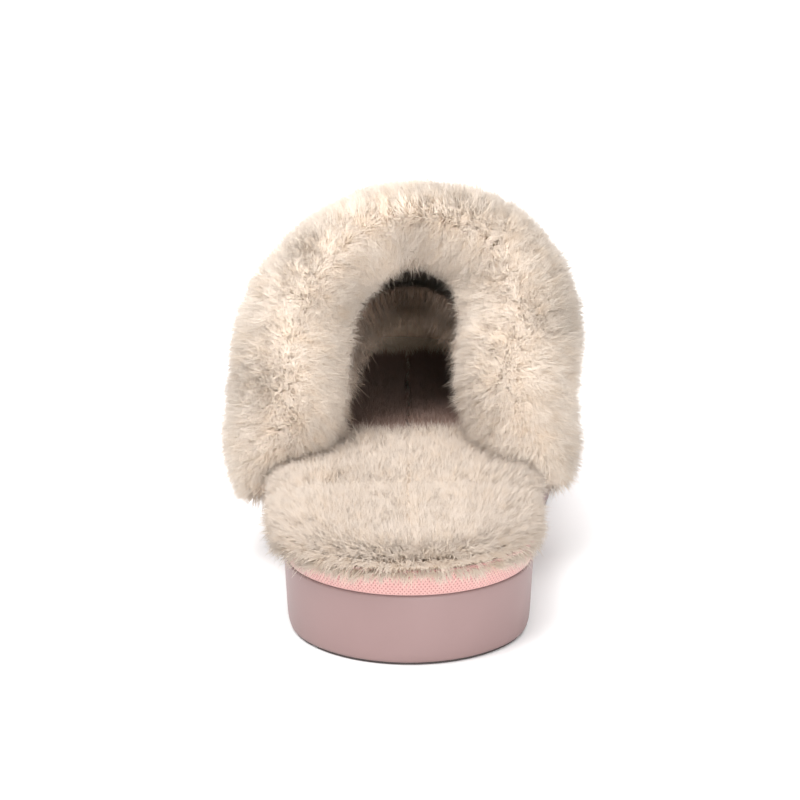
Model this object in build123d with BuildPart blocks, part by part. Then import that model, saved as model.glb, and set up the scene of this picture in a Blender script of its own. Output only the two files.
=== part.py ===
"""Plush mule slipper for the right foot, on a flat platform sole.

Frame, in millimetres: the origin is on the floor under the middle of the sole,
+Y runs from heel to toe, +X is the outer (little toe) side and +Z is up.
"""

from build123d import *
from math import cos, hypot, radians, sin
import os

# ---- driving dimensions -------------------------------------------------

sole_length = 264.0
heel_radius = 40.5
outsole_thickness = 3.0
outsole_inset = 2.2
midsole_bottom = 0.8
midsole_top = 24.0
bottom_edge_radius = 1.0
top_edge_radius = 0.8
webbing_height = 9.0
webbing_thickness = 1.6
webbing_setback = 0.2
board_gap = 0.2
lasting_margin = 11.0
filler_gap = 0.4
margin_thickness = 1.2
board_thickness = 2.2
footbed_pile = 10.5
footbed_gap = 1.2
heel_overhang = 3.0
overhang_clearance = 0.3
suede_thickness = 1.8
interlining_thickness = 1.0
lining_thickness = 8.0
stay_tape_width = 9.0
toe_puff_length = 46.0
upper_height = 105.0
throat_lean = 60.0
throat_y = -32.0
heel_end_setback = 4.0
upper_clearance = 0.1
cuff_half_width = 61.0
foam_clearance = 2.0
opening_half_width = 23.0
groove_depth = 2.2
groove_width = 3.0
groove_pitch = 13.0
groove_length = 150.0
groove_angle = 8.0
toe_margin = 8.0

# ---- sizes that follow from them ---------------------------------------

half_length = sole_length / 2
heel_centre_y = heel_radius - half_length
webbing_top = midsole_top + webbing_height
board_bottom = midsole_top + margin_thickness
board_top = board_bottom + board_thickness
footbed_top = webbing_top + footbed_pile
lining_back = suede_thickness + interlining_thickness
lining_face = lining_back + lining_thickness

# Edge of the sole in front of the heel: outer side from waist to toe, tip, inner side back.
sole_edge = [
    (43, -20), (51, 20), (54, 54), (48.5, 91), (30, 120), (-4, half_length),
    (-30, 123), (-45, 98), (-49.5, 62), (-46, 20), (-41.5, -20),
]

# The closed back of the upper's form, which the throat cuts off.
form_back_y = -70.0
form_half_width = 51.0
form_back = [(-29, -58), (0, form_back_y), (31, -58)]

# Upper, level by level: height, width factor, toe end, back end.
upper_levels = [
    (board_top, 0.953, 129.6, form_back_y),
    (webbing_top + 1, 0.953, 129.6, form_back_y),
    (48, 1.03, 127, -62),
    (62, 0.98, 110, -50),
    (78, 0.84, 81, -34),
    (92, 0.60, 48, -16),
    (101, 0.33, 26, -3),
]
upper_crown_y = 12.0

# Ovals in planes parallel to the throat, front to rear: distance behind the throat,
# half width, and where the oval's bottom and top lie up the leaning plane.
cuff_ovals = [
    (-33, cuff_half_width - 4, 5, 94),
    (-20, cuff_half_width - 1, -9, 100),
    (-5, cuff_half_width, -17, 102),
    (8, cuff_half_width - 2, -18, 92),
    (16, cuff_half_width - 7, -12, 81),
    (21, cuff_half_width - 15, -5, 70),
]
opening_ovals = [
    (-3, opening_half_width, -40, 71),
    (8, opening_half_width, -40, 72),
    (16, opening_half_width + 5, -40, 70),
    (23, opening_half_width + 15, -40, 66),
]
foam_ovals = [(0.5, 44, 14, 84), (6, 42, 12, 82)]
foam_hollow_ovals = [(0, 34, -30, 80), (7, 34, -30, 78)]

throat_back = (0, -sin(radians(throat_lean)), cos(radians(throat_lean)))
throat = Plane(origin=(0, throat_y, webbing_top), x_dir=(1, 0, 0), z_dir=throat_back)

os.makedirs("parts", exist_ok=True)


def save(piece, name):
    """Label one finished piece and write it as its own STEP."""
    piece.part.label = name
    export_step(piece.part, f"parts/{name}.step")
    volume_cm3 = piece.part.volume / 1000
    print(f"{name:18s} {volume_cm3:8.2f} cm3  {len(piece.part.solids())} solid", flush=True)


# ---- profiles -----------------------------------------------------------


def drawn_in(edge, inset):
    """Edge points moved inwards, square to the edge, by the inset."""
    ends = [(heel_radius, heel_centre_y)] + edge + [(-heel_radius, heel_centre_y)]
    moved = []
    for before, point, after in zip(ends, edge, ends[2:]):
        run_x, run_y = after[0] - before[0], after[1] - before[1]
        run = hypot(run_x, run_y)
        moved.append((point[0] - inset * run_y / run, point[1] + inset * run_x / run))
    return moved


def sole_slab(bottom, top, inset=0.0):
    """Flat sheet of the sole's shape between two heights, drawn in by the inset."""
    radius = heel_radius - inset
    with BuildPart(mode=Mode.PRIVATE) as sheet:
        with BuildSketch(Plane.XY.offset(bottom)):
            with BuildLine():
                ThreePointArc(
                    (-radius, heel_centre_y), (0, heel_centre_y - radius), (radius, heel_centre_y)
                )
                Spline(
                    (radius, heel_centre_y), *drawn_in(sole_edge, inset), (-radius, heel_centre_y),
                    tangents=[(0, 1), (0, -1)],
                )
            make_face()
        extrude(amount=top - bottom)
    return sheet.part


def upper_form(inset):
    """Closed form of the upper, inside its outer face by the inset."""
    rise = (upper_height - inset - board_top) / (upper_height - board_top)
    with BuildPart(mode=Mode.PRIVATE) as form:
        for level, width_factor, front, back in upper_levels:
            half_width = form_half_width * width_factor
            narrow = width_factor * (half_width - inset) / half_width
            stretch = (front - back - 2 * inset) / (half_length - form_back_y)
            points = [
                (x * narrow, back + inset + (y - form_back_y) * stretch)
                for x, y in sole_edge + form_back
            ]
            with BuildSketch(Plane.XY.offset(board_top + (level - board_top) * rise)):
                with BuildLine():
                    Spline(*points, periodic=True)
                make_face()
        loft(sections=[*form.pending_faces, Vertex(0, upper_crown_y, upper_height - inset)])
    return form.part


def oval_form(ovals):
    """Solid lofted through ovals in planes parallel to the throat."""
    with BuildPart(mode=Mode.PRIVATE) as form:
        for back_offset, half_width, low, high in ovals:
            with BuildSketch(throat.offset(back_offset)):
                with Locations((0, (low + high) / 2)):
                    Ellipse(half_width, (high - low) / 2)
        loft()
    return form.part


# ---- sole ---------------------------------------------------------------

with BuildPart() as outsole:
    add(sole_slab(0, outsole_thickness, inset=outsole_inset))
    groove_count = int((half_length - toe_margin) // groove_pitch)
    groove_places = [
        (0, side * (i + 0.5) * groove_pitch) for i in range(groove_count) for side in (-1, 1)
    ]
    with BuildSketch():
        with Locations(*groove_places):
            Rectangle(groove_length, groove_width, rotation=groove_angle)
    extrude(amount=groove_depth, mode=Mode.SUBTRACT)
save(outsole, "outsole")

with BuildPart() as midsole:
    add(sole_slab(midsole_bottom, midsole_top))
    fillet(midsole.faces().sort_by(Axis.Z)[0].edges(), radius=bottom_edge_radius)
    fillet(midsole.faces().sort_by(Axis.Z)[-1].edges(), radius=top_edge_radius)
    add(sole_slab(midsole_bottom, outsole_thickness, inset=outsole_inset), mode=Mode.SUBTRACT)
save(midsole, "midsole")

with BuildPart() as sole_webbing:
    add(sole_slab(midsole_top, webbing_top, inset=webbing_setback))
    add(sole_slab(board_bottom, webbing_top, inset=webbing_thickness), mode=Mode.SUBTRACT)
    add(sole_slab(midsole_top, board_bottom, inset=lasting_margin), mode=Mode.SUBTRACT)
save(sole_webbing, "sole_webbing")

with BuildPart() as bottom_filler:
    add(sole_slab(midsole_top, board_bottom, inset=lasting_margin + filler_gap))
save(bottom_filler, "bottom_filler")

with BuildPart() as insole_board:
    add(sole_slab(board_bottom, board_top, inset=webbing_thickness + board_gap))
save(insole_board, "insole_board")

# ---- upper --------------------------------------------------------------

suede_outside = upper_form(0)
suede_inside = upper_form(suede_thickness)
lining_outside = upper_form(lining_back)
lining_inside = upper_form(lining_face)


def upper_layer(outside, inside):
    """Layer of the upper between two forms, in front of the throat."""
    with BuildPart(mode=Mode.PRIVATE) as layer:
        add(outside)
        add(inside, mode=Mode.SUBTRACT)
        split(bisect_by=throat, keep=Keep.BOTTOM)
    return layer.part


with BuildPart() as vamp_suede:
    add(upper_layer(suede_outside, suede_inside))
save(vamp_suede, "vamp_suede")

with BuildPart() as vamp_lining:
    add(upper_layer(lining_outside, lining_inside))
save(vamp_lining, "vamp_lining")

interlayer = upper_layer(suede_inside, lining_outside)
tape_line = throat.offset(-stay_tape_width)
puff_line = Plane.XZ.offset(toe_puff_length - half_length)

with BuildPart() as throat_stay_tape:
    add(interlayer)
    split(bisect_by=tape_line, keep=Keep.TOP)
save(throat_stay_tape, "throat_stay_tape")

with BuildPart() as toe_puff:
    add(interlayer)
    split(bisect_by=puff_line, keep=Keep.BOTTOM)
save(toe_puff, "toe_puff")

with BuildPart() as vamp_interlining:
    add(interlayer)
    split(bisect_by=tape_line, keep=Keep.BOTTOM)
    split(bisect_by=puff_line, keep=Keep.TOP)
save(vamp_interlining, "vamp_interlining")

# ---- footbed ------------------------------------------------------------


def footbed_layer(bottom, top, heel_inset):
    """Layer of the footbed: full width at the heel, and between the linings in front."""
    heel_end = Plane.XZ.offset(heel_end_setback - throat_y)
    forepart_inset = lining_face + webbing_thickness + footbed_gap
    with BuildPart(mode=Mode.PRIVATE) as layer:
        add(sole_slab(bottom, top, inset=heel_inset))
        split(bisect_by=heel_end, keep=Keep.TOP)
        add(sole_slab(bottom, top, inset=forepart_inset))
    return layer.part


with BuildPart() as footbed_foam:
    add(footbed_layer(board_top, webbing_top, webbing_thickness + board_gap))
save(footbed_foam, "footbed_foam")

with BuildPart() as footbed_plush:
    add(footbed_layer(webbing_top, footbed_top, -heel_overhang))
save(footbed_plush, "footbed_plush")

# ---- cuff ---------------------------------------------------------------

with BuildPart() as cuff_foam:
    add(oval_form(foam_ovals))
    add(oval_form(foam_hollow_ovals), mode=Mode.SUBTRACT)
    add(
        sole_slab(0, footbed_top + foam_clearance, inset=-heel_overhang - foam_clearance),
        mode=Mode.SUBTRACT,
    )
save(cuff_foam, "cuff_foam")

with BuildPart(mode=Mode.PRIVATE) as upper_in_front:
    add(upper_form(-upper_clearance))
    split(bisect_by=throat, keep=Keep.BOTTOM)

with BuildPart() as cuff_plush:
    add(oval_form(cuff_ovals))
    add(oval_form(opening_ovals), mode=Mode.SUBTRACT)
    add(upper_in_front.part, mode=Mode.SUBTRACT)
    add(
        sole_slab(-1, footbed_top, inset=-heel_overhang - overhang_clearance),
        mode=Mode.SUBTRACT,
    )
    add(cuff_foam.part, mode=Mode.SUBTRACT)
save(cuff_plush, "cuff_plush")
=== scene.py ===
"""Plush mule slipper: looks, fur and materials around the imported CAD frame."""

import math

import bpy
import numpy as np
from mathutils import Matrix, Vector
from mathutils.kdtree import KDTree


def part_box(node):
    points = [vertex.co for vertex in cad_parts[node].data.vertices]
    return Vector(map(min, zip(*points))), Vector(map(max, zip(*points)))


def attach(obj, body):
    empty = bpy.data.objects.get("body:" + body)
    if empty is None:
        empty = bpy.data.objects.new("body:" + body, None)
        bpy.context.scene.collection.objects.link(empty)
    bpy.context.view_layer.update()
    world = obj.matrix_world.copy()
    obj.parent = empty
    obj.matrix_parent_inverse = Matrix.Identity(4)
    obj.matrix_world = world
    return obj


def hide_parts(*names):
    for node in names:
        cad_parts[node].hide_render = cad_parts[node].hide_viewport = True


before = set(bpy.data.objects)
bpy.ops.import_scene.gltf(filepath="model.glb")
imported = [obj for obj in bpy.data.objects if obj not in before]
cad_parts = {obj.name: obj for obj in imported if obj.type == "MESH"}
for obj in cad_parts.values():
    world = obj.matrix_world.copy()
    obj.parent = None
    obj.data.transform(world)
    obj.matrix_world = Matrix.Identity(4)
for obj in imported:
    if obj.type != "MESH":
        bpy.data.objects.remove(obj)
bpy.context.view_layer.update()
SEED = 20240607
rng = np.random.default_rng(SEED)

# ---- dimensions, in millimetres until a mesh is made -------------------

MM = 0.001
HALF_LENGTH = -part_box("midsole")[0][1] / MM
HEEL_RADIUS = 40.5
HEEL_CENTRE_Y = HEEL_RADIUS - HALF_LENGTH
SOLE_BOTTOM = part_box("midsole")[0][2] / MM
SOLE_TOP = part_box("midsole")[1][2] / MM
WEBBING_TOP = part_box("sole_webbing")[1][2] / MM
FOOTBED_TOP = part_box("footbed_plush")[1][2] / MM
THROAT_LEAN = math.radians(60)
THROAT_Y = -32.0

SOLE_EDGE = [
    (43, -20), (51, 20), (54, 54), (48.5, 91), (30, 120), (-4, HALF_LENGTH),
    (-30, 123), (-45, 98), (-49.5, 62), (-46, 20), (-41.5, -20),
]
FORM_HALF_WIDTH = 51.0
FORM_BACK_Y = -70
FORM_BACK = [(-29, -58), (0, FORM_BACK_Y), (31, -58)]
UPPER_LEVELS = [
    (27.4, 0.953, 129.6, -70), (34, 0.953, 129.6, -70), (48, 1.03, 127, -62),
    (62, 0.98, 110, -50), (78, 0.84, 81, -34), (92, 0.60, 48, -16), (101, 0.33, 26, -3),
    (104.5, 0.12, 15, 7),
]
UPPER_HEIGHT = 105.0

THROAT_ORIGIN = np.array([0.0, THROAT_Y, WEBBING_TOP])
UP = np.array([0.0, math.cos(THROAT_LEAN), math.sin(THROAT_LEAN)])
BACK = np.array([0.0, -math.sin(THROAT_LEAN), math.cos(THROAT_LEAN)])
SIDE = np.array([1.0, 0.0, 0.0])


# ---- curves and meshes --------------------------------------------------


def closed_spline(points, count):
    """Smooth closed curve through the points, evenly read at count places."""
    points = np.array(points, float)
    following = np.roll(points, -1, axis=0)
    chord = np.linalg.norm(following - points, axis=1)
    size = len(points)
    matrix = np.zeros((size, size))
    right = np.zeros_like(points)
    slope = (following - points) / chord[:, None]
    for i in range(size):
        before, after = chord[i - 1], chord[i]
        matrix[i, i - 1] = before
        matrix[i, i] = 2 * (before + after)
        matrix[i, (i + 1) % size] = after
        right[i] = 6 * (slope[i] - slope[i - 1])
    bend = np.linalg.solve(matrix, right)
    steps = 24
    fine = []
    for i in range(size):
        t = np.arange(steps)[:, None] / steps * chord[i]
        rest = chord[i] - t
        nxt = (i + 1) % size
        fine.append(
            (bend[i] * rest**3 + bend[nxt] * t**3) / (6 * chord[i])
            + (points[i] / chord[i] - bend[i] * chord[i] / 6) * rest
            + (points[nxt] / chord[i] - bend[nxt] * chord[i] / 6) * t
        )
    fine = np.vstack(fine)
    loop = np.vstack([fine, fine[:1]])
    run = np.concatenate([[0], np.cumsum(np.linalg.norm(np.diff(loop, axis=0), axis=1))])
    places = np.arange(count) / count * run[-1]
    return np.stack([np.interp(places, run, loop[:, k]) for k in range(2)], axis=1)


def sole_loop(count):
    """Edge of the sole, anticlockwise from above."""
    turns = np.radians(np.linspace(180, 360, 9))
    heel = [(HEEL_RADIUS * math.cos(a), HEEL_CENTRE_Y + HEEL_RADIUS * math.sin(a)) for a in turns]
    return closed_spline(heel + SOLE_EDGE, count)


def loop_normals(loop):
    """Outward normals of an anticlockwise loop."""
    run = np.roll(loop, -1, axis=0) - np.roll(loop, 1, axis=0)
    run /= np.linalg.norm(run, axis=1)[:, None]
    return np.stack([run[:, 1], -run[:, 0]], axis=1)


def unit(vectors):
    """Vectors scaled to length one."""
    return vectors / np.maximum(np.linalg.norm(vectors, axis=-1, keepdims=True), 1e-9)


def grid_normals(grid):
    """Normals of a grid of points whose last column joins its first."""
    along = np.gradient(grid, axis=0)
    around = np.roll(grid, -1, axis=1) - np.roll(grid, 1, axis=1)
    return unit(np.cross(along, around))


def make_mesh(name, points, faces, material, uv=None):
    """Mesh object in metres from points in millimetres, with an optional UV for each vertex."""
    mesh = bpy.data.meshes.new(name)
    mesh.from_pydata((np.asarray(points) * MM).tolist(), [], faces)
    mesh.update()
    if uv is not None:
        layer = mesh.uv_layers.new(name="OFBake")
        corners = np.empty(len(mesh.loops), np.int32)
        mesh.loops.foreach_get("vertex_index", corners)
        layer.data.foreach_set("uv", np.asarray(uv, np.float32)[corners].ravel())
    mesh.polygons.foreach_set("use_smooth", np.ones(len(mesh.polygons), bool))
    mesh.materials.append(material)
    piece = bpy.data.objects.new(name, mesh)
    bpy.context.scene.collection.objects.link(piece)
    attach(piece, "root")
    return piece


def grid_faces(rows, columns):
    """Quads between the rows of a grid whose last column joins its first."""
    faces = []
    for i in range(rows - 1):
        low, high = i * columns, (i + 1) * columns
        for j in range(columns):
            k = (j + 1) % columns
            faces.append((low + j, low + k, high + k, high + j))
    return faces


def end_faces(rows, columns):
    """Flat faces over the first and the last row of a grid."""
    last = (rows - 1) * columns
    return [tuple(range(columns))[::-1], tuple(range(last, last + columns))]


# ---- materials ----------------------------------------------------------


def new_material(name, color, roughness, sheen=0.0, sheen_tint=None):
    """Principled material with plain values, ready for its pattern."""
    material = bpy.data.materials.new(name)
    material.use_nodes = True
    shader = material.node_tree.nodes["Principled BSDF"]
    shader.inputs["Base Color"].default_value = (*color, 1)
    shader.inputs["Roughness"].default_value = roughness
    shader.inputs["Sheen Weight"].default_value = sheen
    shader.inputs["Sheen Roughness"].default_value = 0.5
    if sheen_tint:
        shader.inputs["Sheen Tint"].default_value = (*sheen_tint, 1)
    return material, material.node_tree, shader


def add_ramp(tree, factor, stops):
    """Colour ramp driven by a socket."""
    ramp = tree.nodes.new("ShaderNodeValToRGB")
    elements = ramp.color_ramp.elements
    while len(elements) < len(stops):
        elements.new(0.5)
    for element, (place, color) in zip(elements, stops):
        element.position = place
        element.color = (*color, 1)
    tree.links.new(factor, ramp.inputs["Fac"])
    return ramp.outputs["Color"]


def add_noise(tree, scale, detail=3.0, rough=0.55):
    """Noise in the object's own coordinates."""
    place = tree.nodes.new("ShaderNodeTexCoord")
    noise = tree.nodes.new("ShaderNodeTexNoise")
    noise.inputs["Scale"].default_value = scale
    noise.inputs["Detail"].default_value = detail
    noise.inputs["Roughness"].default_value = rough
    tree.links.new(place.outputs["Object"], noise.inputs["Vector"])
    return noise.outputs["Fac"]


def add_bump(tree, shader, height, strength, distance):
    """Bump on the shader from a height socket."""
    bump = tree.nodes.new("ShaderNodeBump")
    bump.inputs["Strength"].default_value = strength
    bump.inputs["Distance"].default_value = distance
    tree.links.new(height, bump.inputs["Height"])
    tree.links.new(bump.outputs["Normal"], shader.inputs["Normal"])


def math_node(tree, operation, first, second):
    """Math node on sockets or numbers."""
    node = tree.nodes.new("ShaderNodeMath")
    node.operation = operation
    for socket, value in zip(node.inputs, (first, second)):
        if isinstance(value, (int, float)):
            socket.default_value = value
        else:
            tree.links.new(value, socket)
    return node.outputs[0]


def noisy_material(name, dark, light, roughness, scale, bump_scale, bump_depth, sheen=0.0):
    """Material whose colour and relief both follow fine noise."""
    material, tree, shader = new_material(name, light, roughness, sheen)
    color = add_ramp(tree, add_noise(tree, scale), [(0.3, dark), (0.7, light)])
    tree.links.new(color, shader.inputs["Base Color"])
    add_bump(tree, shader, add_noise(tree, bump_scale, 5.0, 0.65), 0.6, bump_depth)
    return material


def strand_material(name, root, middle, tip, shade):
    """Fur whose colour runs from root to tip along V and is toned by U; the darker root colour is
    painted shade deep in the pile.
    """
    material, tree, shader = new_material(name, tip, 0.7, 0.12, (1.0, 0.90, 0.80))
    place = tree.nodes.new("ShaderNodeUVMap")
    place.uv_map = "OFBake"
    split = tree.nodes.new("ShaderNodeSeparateXYZ")
    tree.links.new(place.outputs["UV"], split.inputs[0])
    along = add_ramp(tree, split.outputs["Y"], [(0.0, root), (0.45, middle), (0.95, tip)])
    tone = add_ramp(tree, split.outputs["X"], [(0.0, shade), (0.55, (1, 1, 1))])
    mix = tree.nodes.new("ShaderNodeMix")
    mix.data_type = "RGBA"
    mix.blend_type = "MULTIPLY"
    mix.inputs["Factor"].default_value = 1.0
    tree.links.new(along, mix.inputs["A"])
    tree.links.new(tone, mix.inputs["B"])
    tree.links.new(mix.outputs["Result"], shader.inputs["Base Color"])
    return material


# Root colours, darker and warmer than the tips, are painted shade deep in the pile.
CREAM_ROOT = (0.80, 0.62, 0.46)
CREAM_MIDDLE = (0.88, 0.75, 0.62)
CREAM_TIP = (0.91, 0.80, 0.695)
CREAM_SHADE = (0.94, 0.87, 0.78)

fur_cream = strand_material("fur_cream", CREAM_ROOT, CREAM_MIDDLE, CREAM_TIP, CREAM_SHADE)
fur_footbed = strand_material(
    "fur_footbed", (0.54, 0.39, 0.28), (0.63, 0.52, 0.42), (0.66, 0.565, 0.485), CREAM_SHADE
)
# Darker copy of the pile colours for the footbed under the vamp: painted shade.
fur_shaded = strand_material(
    "fur_shaded", (0.20, 0.12, 0.09), (0.36, 0.23, 0.185), (0.42, 0.28, 0.23), CREAM_SHADE
)
fur_lining = strand_material(
    "fur_lining", (0.60, 0.42, 0.31), (0.80, 0.63, 0.51), (0.88, 0.74, 0.63), CREAM_SHADE
)
plush_backing = noisy_material(
    "plush_backing", (0.74, 0.57, 0.43), (0.86, 0.72, 0.58), 0.9, 300, 900, 0.0006, 0.2
)
midsole_foam = noisy_material(
    "midsole_foam", (0.232, 0.148, 0.142), (0.246, 0.158, 0.152), 0.5, 45, 1400, 0.00006
)
sole_rubber = noisy_material(
    "sole_rubber", (0.045, 0.035, 0.034), (0.07, 0.055, 0.052), 0.7, 120, 1500, 0.0001
)
suede = noisy_material(
    "suede", (0.33, 0.205, 0.19), (0.375, 0.237, 0.22), 0.95, 620, 3200, 0.0003, 0.25
)
backing_cloth = noisy_material(
    "backing_cloth", (0.70, 0.67, 0.62), (0.82, 0.80, 0.76), 0.9, 900, 2200, 0.0002
)
stiffener = noisy_material(
    "stiffener", (0.66, 0.62, 0.55), (0.76, 0.73, 0.67), 0.6, 200, 900, 0.0001
)
fibre_board = noisy_material(
    "fibre_board", (0.40, 0.31, 0.22), (0.56, 0.46, 0.35), 0.9, 500, 1500, 0.0002
)
cushion_foam = noisy_material(
    "cushion_foam", (0.74, 0.71, 0.64), (0.86, 0.84, 0.79), 0.85, 1200, 1800, 0.0004
)


THREAD_PITCH = 1.3


def twill_material(name, length, width):
    """Tape woven on the bias: U runs along its length and V across its width."""
    material, tree, shader = new_material(name, (0.56, 0.35, 0.31), 0.75, 0.2)
    place = tree.nodes.new("ShaderNodeUVMap")
    place.uv_map = "OFBake"
    split = tree.nodes.new("ShaderNodeSeparateXYZ")
    tree.links.new(place.outputs["UV"], split.inputs[0])
    along = math_node(tree, "MULTIPLY", split.outputs["X"], length / THREAD_PITCH * 2 * math.pi)
    across = math_node(tree, "MULTIPLY", split.outputs["Y"], width / THREAD_PITCH * 2 * math.pi)
    rising = math_node(tree, "SINE", math_node(tree, "ADD", along, across), 0)
    falling = math_node(tree, "SINE", math_node(tree, "SUBTRACT", along, across), 0)
    thread = math_node(tree, "MAXIMUM", rising, falling)
    rib = math_node(tree, "MULTIPLY_ADD", thread, 0.5)
    rib.node.inputs[2].default_value = 0.5
    color = add_ramp(tree, rib, [(0.1, (0.33, 0.155, 0.145)), (0.75, (0.56, 0.31, 0.285))])
    tree.links.new(color, shader.inputs["Base Color"])
    add_bump(tree, shader, rib, 0.7, 0.00025)
    return material


# ---- sole ---------------------------------------------------------------

loop = sole_loop(360)
outward = loop_normals(loop)


def ring(inset, level):
    """The sole's loop drawn in by an inset, at one level."""
    flat = loop - outward * np.broadcast_to(inset, (len(loop),))[:, None]
    return np.column_stack([flat, np.broadcast_to(level, (len(loop),))])


def rings_mesh(name, profile, material, capped=True, uv=None):
    """Closed mesh through rings of (inset, level): capped flat, or a hoop closed in section."""
    rings = [ring(inset, level) for inset, level in profile]
    count = len(loop)
    faces = grid_faces(len(rings), count)
    if capped:
        faces += end_faces(len(rings), count)
    else:
        last = (len(rings) - 1) * count
        for j in range(count):
            k = (j + 1) % count
            faces.append((last + j, last + k, k, j))
    return make_mesh(name, np.vstack(rings), faces, material, uv=uv)


# How far the platform draws in towards its foot, and under it.
draft = 1.1
recess = 2.4
profile = [(recess, SOLE_BOTTOM + 2.0), (recess, SOLE_BOTTOM), (draft + 0.8, SOLE_BOTTOM)]
profile += [(draft + 0.25, SOLE_BOTTOM + 0.3), (draft, SOLE_BOTTOM + 1.2)]
for share in np.linspace(0.1, 0.9, 9):
    profile.append((draft * (1 - share), SOLE_BOTTOM + 1.2 + share * (SOLE_TOP - SOLE_BOTTOM - 2.2)))
profile += [(0.0, SOLE_TOP - 1.0), (0.12, SOLE_TOP - 0.4), (0.6, SOLE_TOP - 0.05), (2.5, SOLE_TOP)]
midsole = rings_mesh("midsole_body", profile, midsole_foam)
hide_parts("midsole")

perimeter = float(np.linalg.norm(loop - np.roll(loop, 1, axis=0), axis=1).sum())
band_width = WEBBING_TOP - SOLE_TOP
twill = twill_material("twill_tape", perimeter, 1.8 * band_width)
ripple = 0.12 * np.sin(np.arange(len(loop)) * 0.35) + 0.1 * np.sin(np.arange(len(loop)) * 0.127)
band = [
    (0.55, SOLE_TOP + 0.02), (0.15, SOLE_TOP + 0.4), (-0.15, SOLE_TOP + 2.0),
    (-0.45, SOLE_TOP + 4.0), (-0.8, SOLE_TOP + 6.0), (-1.1, WEBBING_TOP - 1.2),
    (-1.15, WEBBING_TOP - 0.3), (-0.7, WEBBING_TOP), (-0.2, WEBBING_TOP - 0.2),
    (0.1, WEBBING_TOP - 2.0), (0.9, SOLE_TOP + 3.0), (1.4, SOLE_TOP + 0.1),
]
forepart = np.clip((loop[:, 1] - THROAT_Y + 4) / 20, 0, 1)
profile = []
for i, (inset, level) in enumerate(band):
    raised = np.clip((level - SOLE_TOP) / band_width, 0, 1)
    profile.append((inset + ripple * min(1, i / 3) + 2.8 * forepart * raised, level))
share_along = np.arange(len(loop)) / len(loop)
uv = np.vstack([
    np.column_stack([share_along, np.full(len(loop), i / (len(band) - 1))])
    for i in range(len(band))
])
webbing = rings_mesh("twill_binding", profile, twill, capped=False, uv=uv)
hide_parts("sole_webbing")


# ---- upper --------------------------------------------------------------


def upper_loop(level, factor, front, back, inset, count):
    """One level loop of the upper, drawn in by the inset."""
    half_width = FORM_HALF_WIDTH * factor
    narrow = factor * (half_width - inset) / half_width
    stretch = (front - back - 2 * inset) / (HALF_LENGTH - FORM_BACK_Y)
    points = [
        (x * narrow, back + inset + (y - FORM_BACK_Y) * stretch) for x, y in SOLE_EDGE + FORM_BACK
    ]
    return np.column_stack([closed_spline(points, count), np.full(count, level)])


def spread(stations, count):
    """Rows of numbers read smoothly at count places between the stations."""
    stations = np.array(stations, float)
    padded = np.vstack([2 * stations[0] - stations[1], stations, 2 * stations[-1] - stations[-2]])
    places = np.linspace(0, len(stations) - 1, count)
    lower = np.minimum(places.astype(int), len(stations) - 2)
    t = (places - lower)[:, None]
    p0, p1, p2, p3 = (padded[lower + k] for k in range(4))
    return 0.5 * (
        2 * p1 + (p2 - p0) * t + (2 * p0 - 5 * p1 + 4 * p2 - p3) * t**2
        + (3 * p1 - p0 - 3 * p2 + p3) * t**3
    )


def upper_grid(inset, rows, columns):
    """Grid over the upper's form, inside its outer face by the inset."""
    base = UPPER_LEVELS[0][0]
    rise = (UPPER_HEIGHT - inset - base) / (UPPER_HEIGHT - base)
    grid = []
    for level, factor, front, back in spread(UPPER_LEVELS, rows):
        lowered = base + (level - base) * rise
        grid.append(upper_loop(lowered, factor, front, back, inset, columns))
    return np.array(grid)


def behind_throat(points):
    """How far points lie behind the throat plane."""
    return (points - THROAT_ORIGIN) @ BACK


def closed_shell(outer_faces, count):
    """Outer faces, their inner twins, and the rims that join the two."""
    edges = {(a, b) for face in outer_faces for a, b in zip(face, face[1:] + face[:1])}
    rims = [(b, a, a + count, b + count) for a, b in sorted(edges) if (b, a) not in edges]
    inner_faces = [tuple(count + v for v in face[::-1]) for face in outer_faces]
    return outer_faces + inner_faces + rims


def upper_shell(name, inset, thickness, throat_margin, material):
    """Closed shell of the upper in front of the throat, cut to its plane."""
    rows, columns = 70, 300
    outside = upper_grid(inset, rows, columns)
    inside = upper_grid(inset + thickness, rows, columns)
    points, faces = [], []
    keep = behind_throat(outside) < throat_margin
    for grid in (outside, inside):
        flat = grid.reshape(-1, 3)
        over = np.maximum(behind_throat(flat) - throat_margin, 0)
        points.append(flat - over[:, None] * BACK)
    count = rows * columns
    for i in range(rows - 1):
        for j in range(columns):
            k = (j + 1) % columns
            if keep[i, j] or keep[i, k] or keep[i + 1, j] or keep[i + 1, k]:
                low, high = i * columns, (i + 1) * columns
                faces.append((low + j, low + k, high + k, high + j))
    faces = np.array(closed_shell(faces, count))
    used = np.unique(faces)
    return make_mesh(name, np.vstack(points)[used], np.searchsorted(used, faces).tolist(), material)


SUEDE_THICKNESS = 1.6
LINING_INSET, LINING_THICKNESS = 2.9, 7.5
PILE_ROOT_INSET = 10.2

vamp = upper_shell("vamp", 0.0, SUEDE_THICKNESS, 1.0, suede)
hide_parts("vamp_suede")
lining = upper_shell("lining_backing", LINING_INSET, LINING_THICKNESS, 0.5, plush_backing)
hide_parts("vamp_lining")

# ---- cuff core ----------------------------------------------------------

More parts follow.
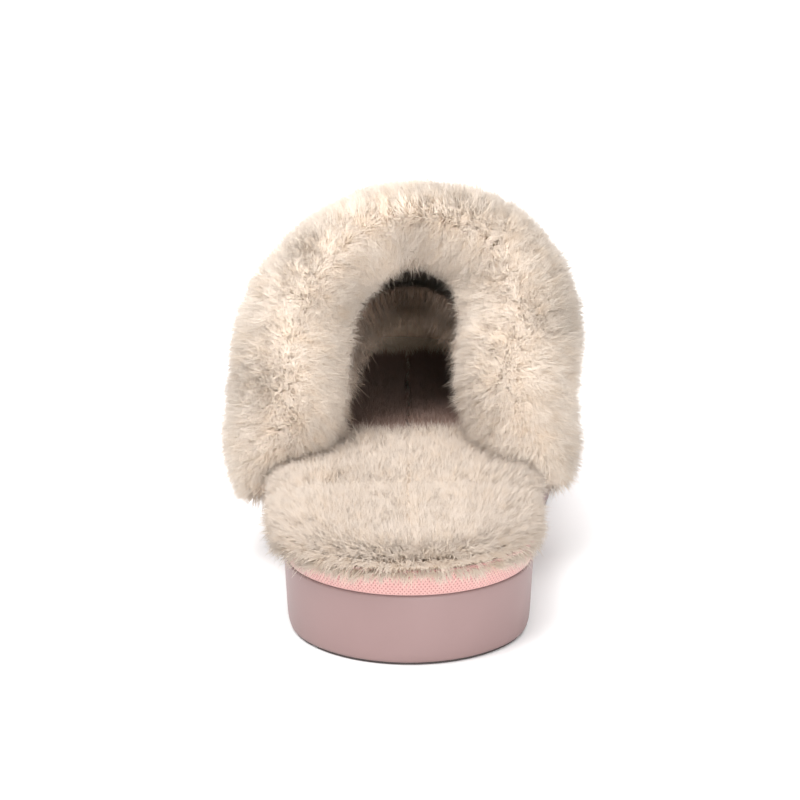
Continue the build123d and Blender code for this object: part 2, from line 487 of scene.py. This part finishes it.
# Rear view, left foot of the arch to the right one: x, height, distance behind the
# throat, and half thickness in the arch's plane and square to it.
CUFF_STATIONS = [
    (-49, 26, -1, 2, 4), (-48, 32, -1, 6, 9), (-43.5, 41, 0, 9.5, 14),
    (-41, 51, 0, 10.5, 16), (-40, 63, -1, 10.5, 17), (-37.5, 75, -2, 10.5, 17),
    (-32, 86, -4, 9.5, 17), (-23, 95.5, -5, 7, 16.5), (-10, 102.5, -6, 5, 16),
    (3, 104.5, -6, 4.5, 16), (17.5, 102.5, -6, 6, 16), (29.5, 95.5, -5, 8.5, 16.5),
    (35.5, 85, -4, 10.5, 17), (37.5, 73, -2, 11.5, 17), (36.5, 61, -1, 11, 16.5),
    (37, 50, 0, 10, 15.5), (40.5, 40, 0, 8.5, 13), (45.5, 34, -1, 4.5, 9),
    (46.5, 30, -1, 2, 4),
]
CUFF_ROWS, CUFF_COLUMNS = 180, 72


def cuff_grid():
    """Roll of the cuff: rows run over the arch, columns round the roll."""
    rows = spread(CUFF_STATIONS, CUFF_ROWS)
    rise = (rows[:, 1] - WEBBING_TOP - rows[:, 2] * BACK[2]) / UP[2]
    centre = THROAT_ORIGIN + rows[:, :1] * SIDE + rows[:, 2:3] * BACK + rise[:, None] * UP
    tangent = unit(np.gradient(centre, axis=0))
    rear = unit(BACK - (tangent @ BACK)[:, None] * tangent)
    outer = np.cross(rear, tangent)
    turns = np.arange(CUFF_COLUMNS) / CUFF_COLUMNS * 2 * math.pi
    across, deep = np.cos(turns), np.sin(turns)
    grid = (
        centre[:, None]
        + (rows[:, 3:4] * across)[..., None] * outer[:, None]
        + (rows[:, 4:5] * deep)[..., None] * rear[:, None]
    )
    return grid, outer, rear


cuff_points, cuff_outer, cuff_rear = cuff_grid()
cuff_normals = grid_normals(cuff_points)
middle_row = CUFF_ROWS // 2
if (cuff_normals[middle_row, 0] @ cuff_outer[middle_row]) < 0:
    cuff_normals = -cuff_normals
faces = grid_faces(CUFF_ROWS, CUFF_COLUMNS) + end_faces(CUFF_ROWS, CUFF_COLUMNS)
cuff_core = make_mesh("cuff_backing", cuff_points.reshape(-1, 3), faces, plush_backing)
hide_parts("cuff_plush")

# ---- footbed core -------------------------------------------------------

PAD_DIP_Y = -68.0
UNDER_VAMP_Y = -12.0
HEEL_SHIFT = 1.3


def pad_height(x, y):
    """Top of the footbed's backing, with a soft crease across the heel."""
    crown = FOOTBED_TOP - 8.0 - 1.2 * (x / 40) ** 2
    crown -= 3.0 * np.clip((y - UNDER_VAMP_Y + 6) / 14, 0, 1)
    return crown - 1.1 * np.exp(-(((y - PAD_DIP_Y + 0.002 * x * x) / 6.5) ** 2))


def pad_grid():
    """Rings of the footbed's plush backing from its lower edge to its middle."""
    rings = []
    heel_share = np.clip((THROAT_Y - 4 - loop[:, 1]) / 10, 0, 1)
    edge_inset = 1.0 * heel_share + 13.0 * (1 - heel_share)
    for inset, drop in ((0.6, 8.0), (0.2, 5.0), (-0.8, 3.6), (-0.6, 1.8), (0.8, 0.6), (3.0, 0.0)):
        flat = loop - outward * (edge_inset + inset)[:, None]
        flat[:, 0] -= HEEL_SHIFT * heel_share
        level = pad_height(flat[:, 0], flat[:, 1]) - drop
        rings.append(np.column_stack([flat, np.maximum(level, WEBBING_TOP - 2.0)]))
    edge = rings[-1][:, :2]
    spine = np.column_stack([np.zeros(len(loop)), np.clip(edge[:, 1], -112, 92)])
    for share in np.linspace(0.1, 0.97, 10):
        flat = edge * (1 - share) + spine * share
        rings.append(np.column_stack([flat, pad_height(flat[:, 0], flat[:, 1])]))
    return np.array(rings)


pad_points = pad_grid()
faces = grid_faces(len(pad_points), len(loop)) + end_faces(len(pad_points), len(loop))
pad_core = make_mesh("footbed_backing", pad_points.reshape(-1, 3), faces, plush_backing)
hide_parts("footbed_plush")

# ---- fur ----------------------------------------------------------------

# Strands in one piece at most, and over each part before any are dropped.
MOST_STRANDS = 19000
PAD_STRANDS = 118000
LINING_STRANDS = 60000


def scatter(grid, weight, count):
    """Random places on a grid, with the row and the column of each."""
    columns = grid.shape[1]
    right = np.roll(grid, -1, axis=1)
    edge_down = grid[1:] - grid[:-1]
    edge_right = (right - grid)[:-1]
    area = np.linalg.norm(np.cross(edge_down, edge_right), axis=2) * weight[:-1]
    chance = np.cumsum(area.ravel())
    picks = np.searchsorted(chance, rng.random(count) * chance[-1])
    i, j = np.divmod(picks, columns)
    s, t = rng.random(count)[:, None], rng.random(count)[:, None]
    k = (j + 1) % columns
    place = (grid[i, j] * (1 - t) + grid[i, k] * t) * (1 - s)
    place += (grid[i + 1, j] * (1 - t) + grid[i + 1, k] * t) * s
    return place, i, j


def nearest(places, centres):
    """Index of the nearest centre for each place."""
    tree = KDTree(len(centres))
    for index, centre in enumerate(centres):
        tree.insert(centre, index)
    tree.balance()
    return np.array([tree.find(place)[1] for place in places])


def strand_mesh(name, rings, tip, normals, tone, material):
    """Closed three-sided strands through rings of points, shaded by the given normals."""
    count, levels = rings.shape[:2]
    verts = np.concatenate([rings.reshape(count, -1, 3), tip[:, None]], axis=1)
    per = verts.shape[1]
    faces = []
    for level in range(levels - 1):
        for side in range(3):
            a, b = level * 3 + side, level * 3 + (side + 1) % 3
            faces += [(a, b, b + 3), (a, b + 3, a + 3)]
    top = (levels - 1) * 3
    faces += [(top + side, top + (side + 1) % 3, per - 1) for side in range(3)]
    faces.append((0, 2, 1))
    corners = (np.array(faces)[None] + np.arange(count)[:, None, None] * per).reshape(-1)
    mesh = bpy.data.meshes.new(name)
    mesh.vertices.add(count * per)
    mesh.vertices.foreach_set("co", (verts * MM).astype(np.float32).ravel())
    triangles = len(corners) // 3
    mesh.loops.add(len(corners))
    mesh.loops.foreach_set("vertex_index", corners.astype(np.int32))
    mesh.polygons.add(triangles)
    mesh.polygons.foreach_set("loop_start", np.arange(triangles, dtype=np.int32) * 3)
    mesh.polygons.foreach_set("use_smooth", np.ones(triangles, bool))
    mesh.update(calc_edges=True)
    heights = np.repeat(np.linspace(0, 1, levels + 1)[:levels], 3).tolist() + [1.0]
    uv = np.stack([
        np.repeat(tone, per), np.tile(np.array(heights) * 0.98 + 0.01, count)
    ], axis=1)
    layer = mesh.uv_layers.new(name="OFBake")
    layer.data.foreach_set("uv", uv[corners].astype(np.float32).ravel())
    mesh.normals_split_custom_set_from_vertices(normals.reshape(-1, 3).tolist())
    mesh.materials.append(material)
    piece = bpy.data.objects.new(name, mesh)
    bpy.context.scene.collection.objects.link(piece)
    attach(piece, "root")
    return piece


# Angles of a strand's three sides, in radians.
STRAND_TURNS = (0, 2.094, 4.189)


def grow(name, roots, normals, lean, length, material, density=11.0, lock_size=2.6, clump=0.42,
         radius=0.125, spread_angle=0.27, droop=0.12, soft=1.2):
    """Fur from roots, drawn into locks: lean is the combed direction added to each normal."""
    lengths = np.broadcast_to(length, (len(roots),)) * rng.uniform(0.82, 1.08, len(roots))
    area = len(roots) / density
    locks = max(20, int(area / lock_size**2 * 1.3))
    lock_roots = rng.choice(len(roots), min(locks, len(roots)), replace=False)
    owner = nearest(roots, roots[lock_roots])
    lock_lean = rng.normal(0, 0.11, (len(lock_roots), 3))
    lock_tone = rng.uniform(0.25, 0.8, len(lock_roots))
    lock_length = rng.uniform(0.9, 1.08, len(lock_roots))
    heading = unit(normals + lean + lock_lean[owner] + rng.normal(0, spread_angle, roots.shape))
    guard_hair = np.where(rng.random(len(roots)) < 0.07, 1.28, 1.0)
    lengths = lengths * lock_length[owner] * guard_hair
    lock_heading = unit((normals + lean)[lock_roots] + lock_lean)
    lock_tip = roots[lock_roots] + lock_heading * lengths[lock_roots][:, None]
    tip = roots + heading * lengths[:, None]
    pull = clump * rng.uniform(0.6, 1.0, (len(roots), 1))
    tip = tip * (1 - pull) + lock_tip[owner] * pull
    tip[:, 2] -= droop * lengths
    start = unit(normals + 0.5 * lean + rng.normal(0, 0.1, roots.shape))
    bend = roots + start * lengths[:, None] * 0.5
    joints = []
    for share in (0.0, 0.5):
        joints.append(
            roots * (1 - share) ** 2 + bend * 2 * share * (1 - share) + tip * share**2
        )
    axis = unit(tip - roots)
    first = unit(np.cross(axis, rng.normal(0, 1, roots.shape)))
    second = np.cross(axis, first)
    thick = radius * rng.uniform(0.75, 1.2, len(roots))
    rings, ring_normals = [], []
    for joint, width in zip(joints, (1.0, 0.85)):
        for turn in STRAND_TURNS:
            radial = first * math.cos(turn) + second * math.sin(turn)
            rings.append(joint + radial * (thick * width)[:, None])
            ring_normals.append(unit(normals * soft + radial * 0.4 + axis * 0.15))
    rings = np.stack(rings, axis=1).reshape(len(roots), 2, 3, 3)
    ring_normals.append(unit(normals * soft + axis * 0.3))
    all_normals = np.stack(ring_normals, axis=1)
    tone = np.clip(lock_tone[owner] + rng.normal(0, 0.12, len(roots)), 0.02, 0.98)
    pieces = math.ceil(len(roots) / MOST_STRANDS)
    order = np.argsort(roots[:, 0], kind="stable")
    for index, part in enumerate(np.array_split(order, pieces)):
        strand_mesh(
            f"{name}_{index + 1:02d}", rings[part], tip[part], all_normals[part], tone[part], material
        )


CUFF_DENSITY = 11.0
CUFF_AREA = 20500
LOWEST_ROOT = 14


def swirl(places, size):
    """Slow wander of the pile's direction over the surface."""
    x, y, z = (places / 9.0).T
    return size * np.column_stack([
        np.sin(1.3 * y + 0.7 * z + 1.0) + 0.5 * np.sin(2.9 * z + x),
        np.sin(1.1 * z + 0.9 * x + 2.2),
        np.sin(1.7 * x + 0.8 * y + 0.5) + 0.5 * np.sin(2.3 * y + z),
    ])


def cuff_fur():
    """Long pile all over the outside, rear and opening side of the cuff."""
    turns = np.arange(CUFF_COLUMNS) / CUFF_COLUMNS * 2 * math.pi
    front = np.clip(-np.sin(turns), 0, 1)
    crest = np.clip(np.sin(turns), 0, 1) ** 3
    weight = np.ones(cuff_points.shape[:2]) * (1 + 0.2 * front + 1.0 * crest)
    place, i, j = scatter(cuff_points, weight, int(CUFF_AREA * CUFF_DENSITY))
    normals = cuff_normals[i, j]
    turn = turns[j]
    across = np.cos(turn)
    rearward = 0.5 * np.clip(np.sin(turn) + 0.25, 0, 1)
    lean = cuff_rear[i] * rearward[:, None] + swirl(place, 0.2)
    height = place[:, 2]
    low = np.clip((92 - height) / 60, 0, 1)
    outside = np.clip(across, 0, 1)
    inside = np.clip(-across, 0, 1)
    lean[:, 2] -= (0.25 + 0.35 * outside) * low
    lean[:, 2] += 0.1 * (1 - low)
    top = np.clip((height - 88) / 12, 0, 1)
    foot = np.clip((44 - height) / 14, 0, 1)
    ceiling = inside * top
    lean[:, 2] -= 0.5 * ceiling
    length = 13.0 - 2.0 * inside * (1 - ceiling) - 0.5 * top - 4.0 * foot
    keep = height + normals[:, 2] * 3 > LOWEST_ROOT
    grow("cuff_fur", place[keep], normals[keep], lean[keep], length[keep], fur_cream)


def pad_fur():
    """Dense shorter pile on the footbed, with a fringe over the binding at the heel; the pile under
    the vamp is darker, painted shade.
    """
    weight = np.ones(pad_points.shape[:2])
    weight[:2] = 0.0
    weight[3:7] = 1.8
    normals = grid_normals(pad_points)
    if normals[-3, 0, 2] < 0:
        normals = -normals
    inner = pad_points[..., 1] > -28
    weight[inner] = 0.5
    weight[pad_points[..., 1] > 85] = 0.0
    place, i, j = scatter(pad_points, weight, PAD_STRANDS)
    root_normals = normals[i, j]
    lean = np.zeros_like(place)
    rim = np.clip((4.5 - i) / 2.5, 0, 1)
    edge = np.clip((8.5 - i) / 4, 0, 1) * (1 - rim)
    lean[:, :2] += outward[j] * (0.65 * edge)[:, None]
    lean[:, 2] -= 0.05 * rim
    lean += swirl(place, 0.08)
    lean[:, 1] -= 0.1
    length = 8.4 - 1.9 * rim
    near_dip = np.exp(-(((place[:, 1] - PAD_DIP_Y) / 6) ** 2))
    length = length * (1 - 0.15 * near_dip)
    # Pile in front of UNDER_VAMP_Y, under the vamp, takes the darker fur_shaded colours: painted
    # shade.
    bare = place[:, 1] < UNDER_VAMP_Y
    for name, part, material in [
        ("footbed_fur", bare, fur_footbed), ("footbed_fur_front", ~bare, fur_shaded),
    ]:
        grow(name, place[part], root_normals[part], lean[part], length[part], material,
             lock_size=2.0, clump=0.25)


def lining_fur():
    """Pile over the vamp's ceiling and sides, longest behind the lip of the arch."""
    grid = upper_grid(PILE_ROOT_INSET, 60, 240)
    weight = np.ones(grid.shape[:2])
    depth = behind_throat(grid)
    weight[(depth > 0.5) | (depth < -105) | (grid[..., 2] < 44)] = 0.0
    normals = -grid_normals(grid)
    cavity_middle = np.array([0.0, 0.0, 50.0])
    facing = ((cavity_middle - grid) * normals).sum(axis=2)
    if np.median(facing[weight > 0]) < 0:
        normals = -normals
    place, i, j = scatter(grid, weight, LINING_STRANDS)
    lean = np.zeros_like(place)
    lip = np.clip(1 + behind_throat(place) / 26, 0, 1)
    lean[:, 1] -= 0.3 + 0.5 * lip
    lean[:, 2] -= 0.2
    grow("lining_fur", place, normals[i, j], lean, 8.0 + 6.0 * lip, fur_lining, density=4.0,
         lock_size=3.0, radius=0.17)


cuff_fur()
pad_fur()
lining_fur()

# ---- carried-over nodes -------------------------------------------------

for node, material in [
    ("outsole", sole_rubber), ("insole_board", fibre_board), ("bottom_filler", cushion_foam),
    ("footbed_foam", cushion_foam), ("cuff_foam", cushion_foam), ("toe_puff", stiffener),
    ("throat_stay_tape", backing_cloth), ("vamp_interlining", backing_cloth),
]:
    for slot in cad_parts[node].material_slots:
        slot.material = material

# ---- stage --------------------------------------------------------------


def look_at(piece, target):
    """Turn a camera or light to face a point."""
    aim = Vector(target) - piece.location
    piece.rotation_euler = aim.to_track_quat("-Z", "Y").to_euler()


def add_area(name, place, target, size, energy):
    """Soft square light."""
    data = bpy.data.lights.new(name, "AREA")
    data.shape = "SQUARE"
    data.size = size
    data.energy = energy
    lamp = bpy.data.objects.new(name, data)
    bpy.context.scene.collection.objects.link(lamp)
    lamp.location = Vector(place)
    look_at(lamp, target)


floor_mesh = bpy.data.meshes.new("floor")
reach = 6.0
floor_corners = [(-reach, -reach, 0), (reach, -reach, 0), (reach, reach, 0), (-reach, reach, 0)]
floor_mesh.from_pydata(floor_corners, [], [(0, 1, 2, 3)])
floor_material = new_material("pale_floor", (0.93, 0.93, 0.93), 0.8)[0]
floor_mesh.materials.append(floor_material)
floor = bpy.data.objects.new("floor", floor_mesh)
bpy.context.scene.collection.objects.link(floor)

world = bpy.data.worlds.new("studio")
world.use_nodes = True
world.node_tree.nodes["Background"].inputs["Color"].default_value = (1.0, 1.0, 1.0, 1)
world.node_tree.nodes["Background"].inputs["Strength"].default_value = 0.75
bpy.context.scene.world = world

centre = (0.0, 0.0, 0.05)
add_area("key", (-0.6, -0.5, 1.3), centre, 1.0, 20)
add_area("fill", (0.3, -1.35, 0.16), centre, 0.6, 12.5)
add_area("rim", (0.1, 1.1, 0.9), centre, 0.9, 6)
add_area("top", (0.1, 0.0, 1.4), centre, 1.0, 10)

# ---- camera -------------------------------------------------------------

# A long lens behind the heel and a little above it.
ELEVATION = math.radians(18)
DISTANCE = 1.1
LENS = 152
AIM = Vector((-0.0029, -0.075, 0.0703))
camera_data = bpy.data.cameras.new("camera")
camera = bpy.data.objects.new("camera", camera_data)
bpy.context.scene.collection.objects.link(camera)
camera.location = AIM + DISTANCE * Vector((0, -math.cos(ELEVATION), math.sin(ELEVATION)))
look_at(camera, AIM)
camera_data.sensor_width = 36
camera_data.lens = LENS
bpy.context.scene.camera = camera

bpy.context.scene.view_settings.view_transform = "Standard"
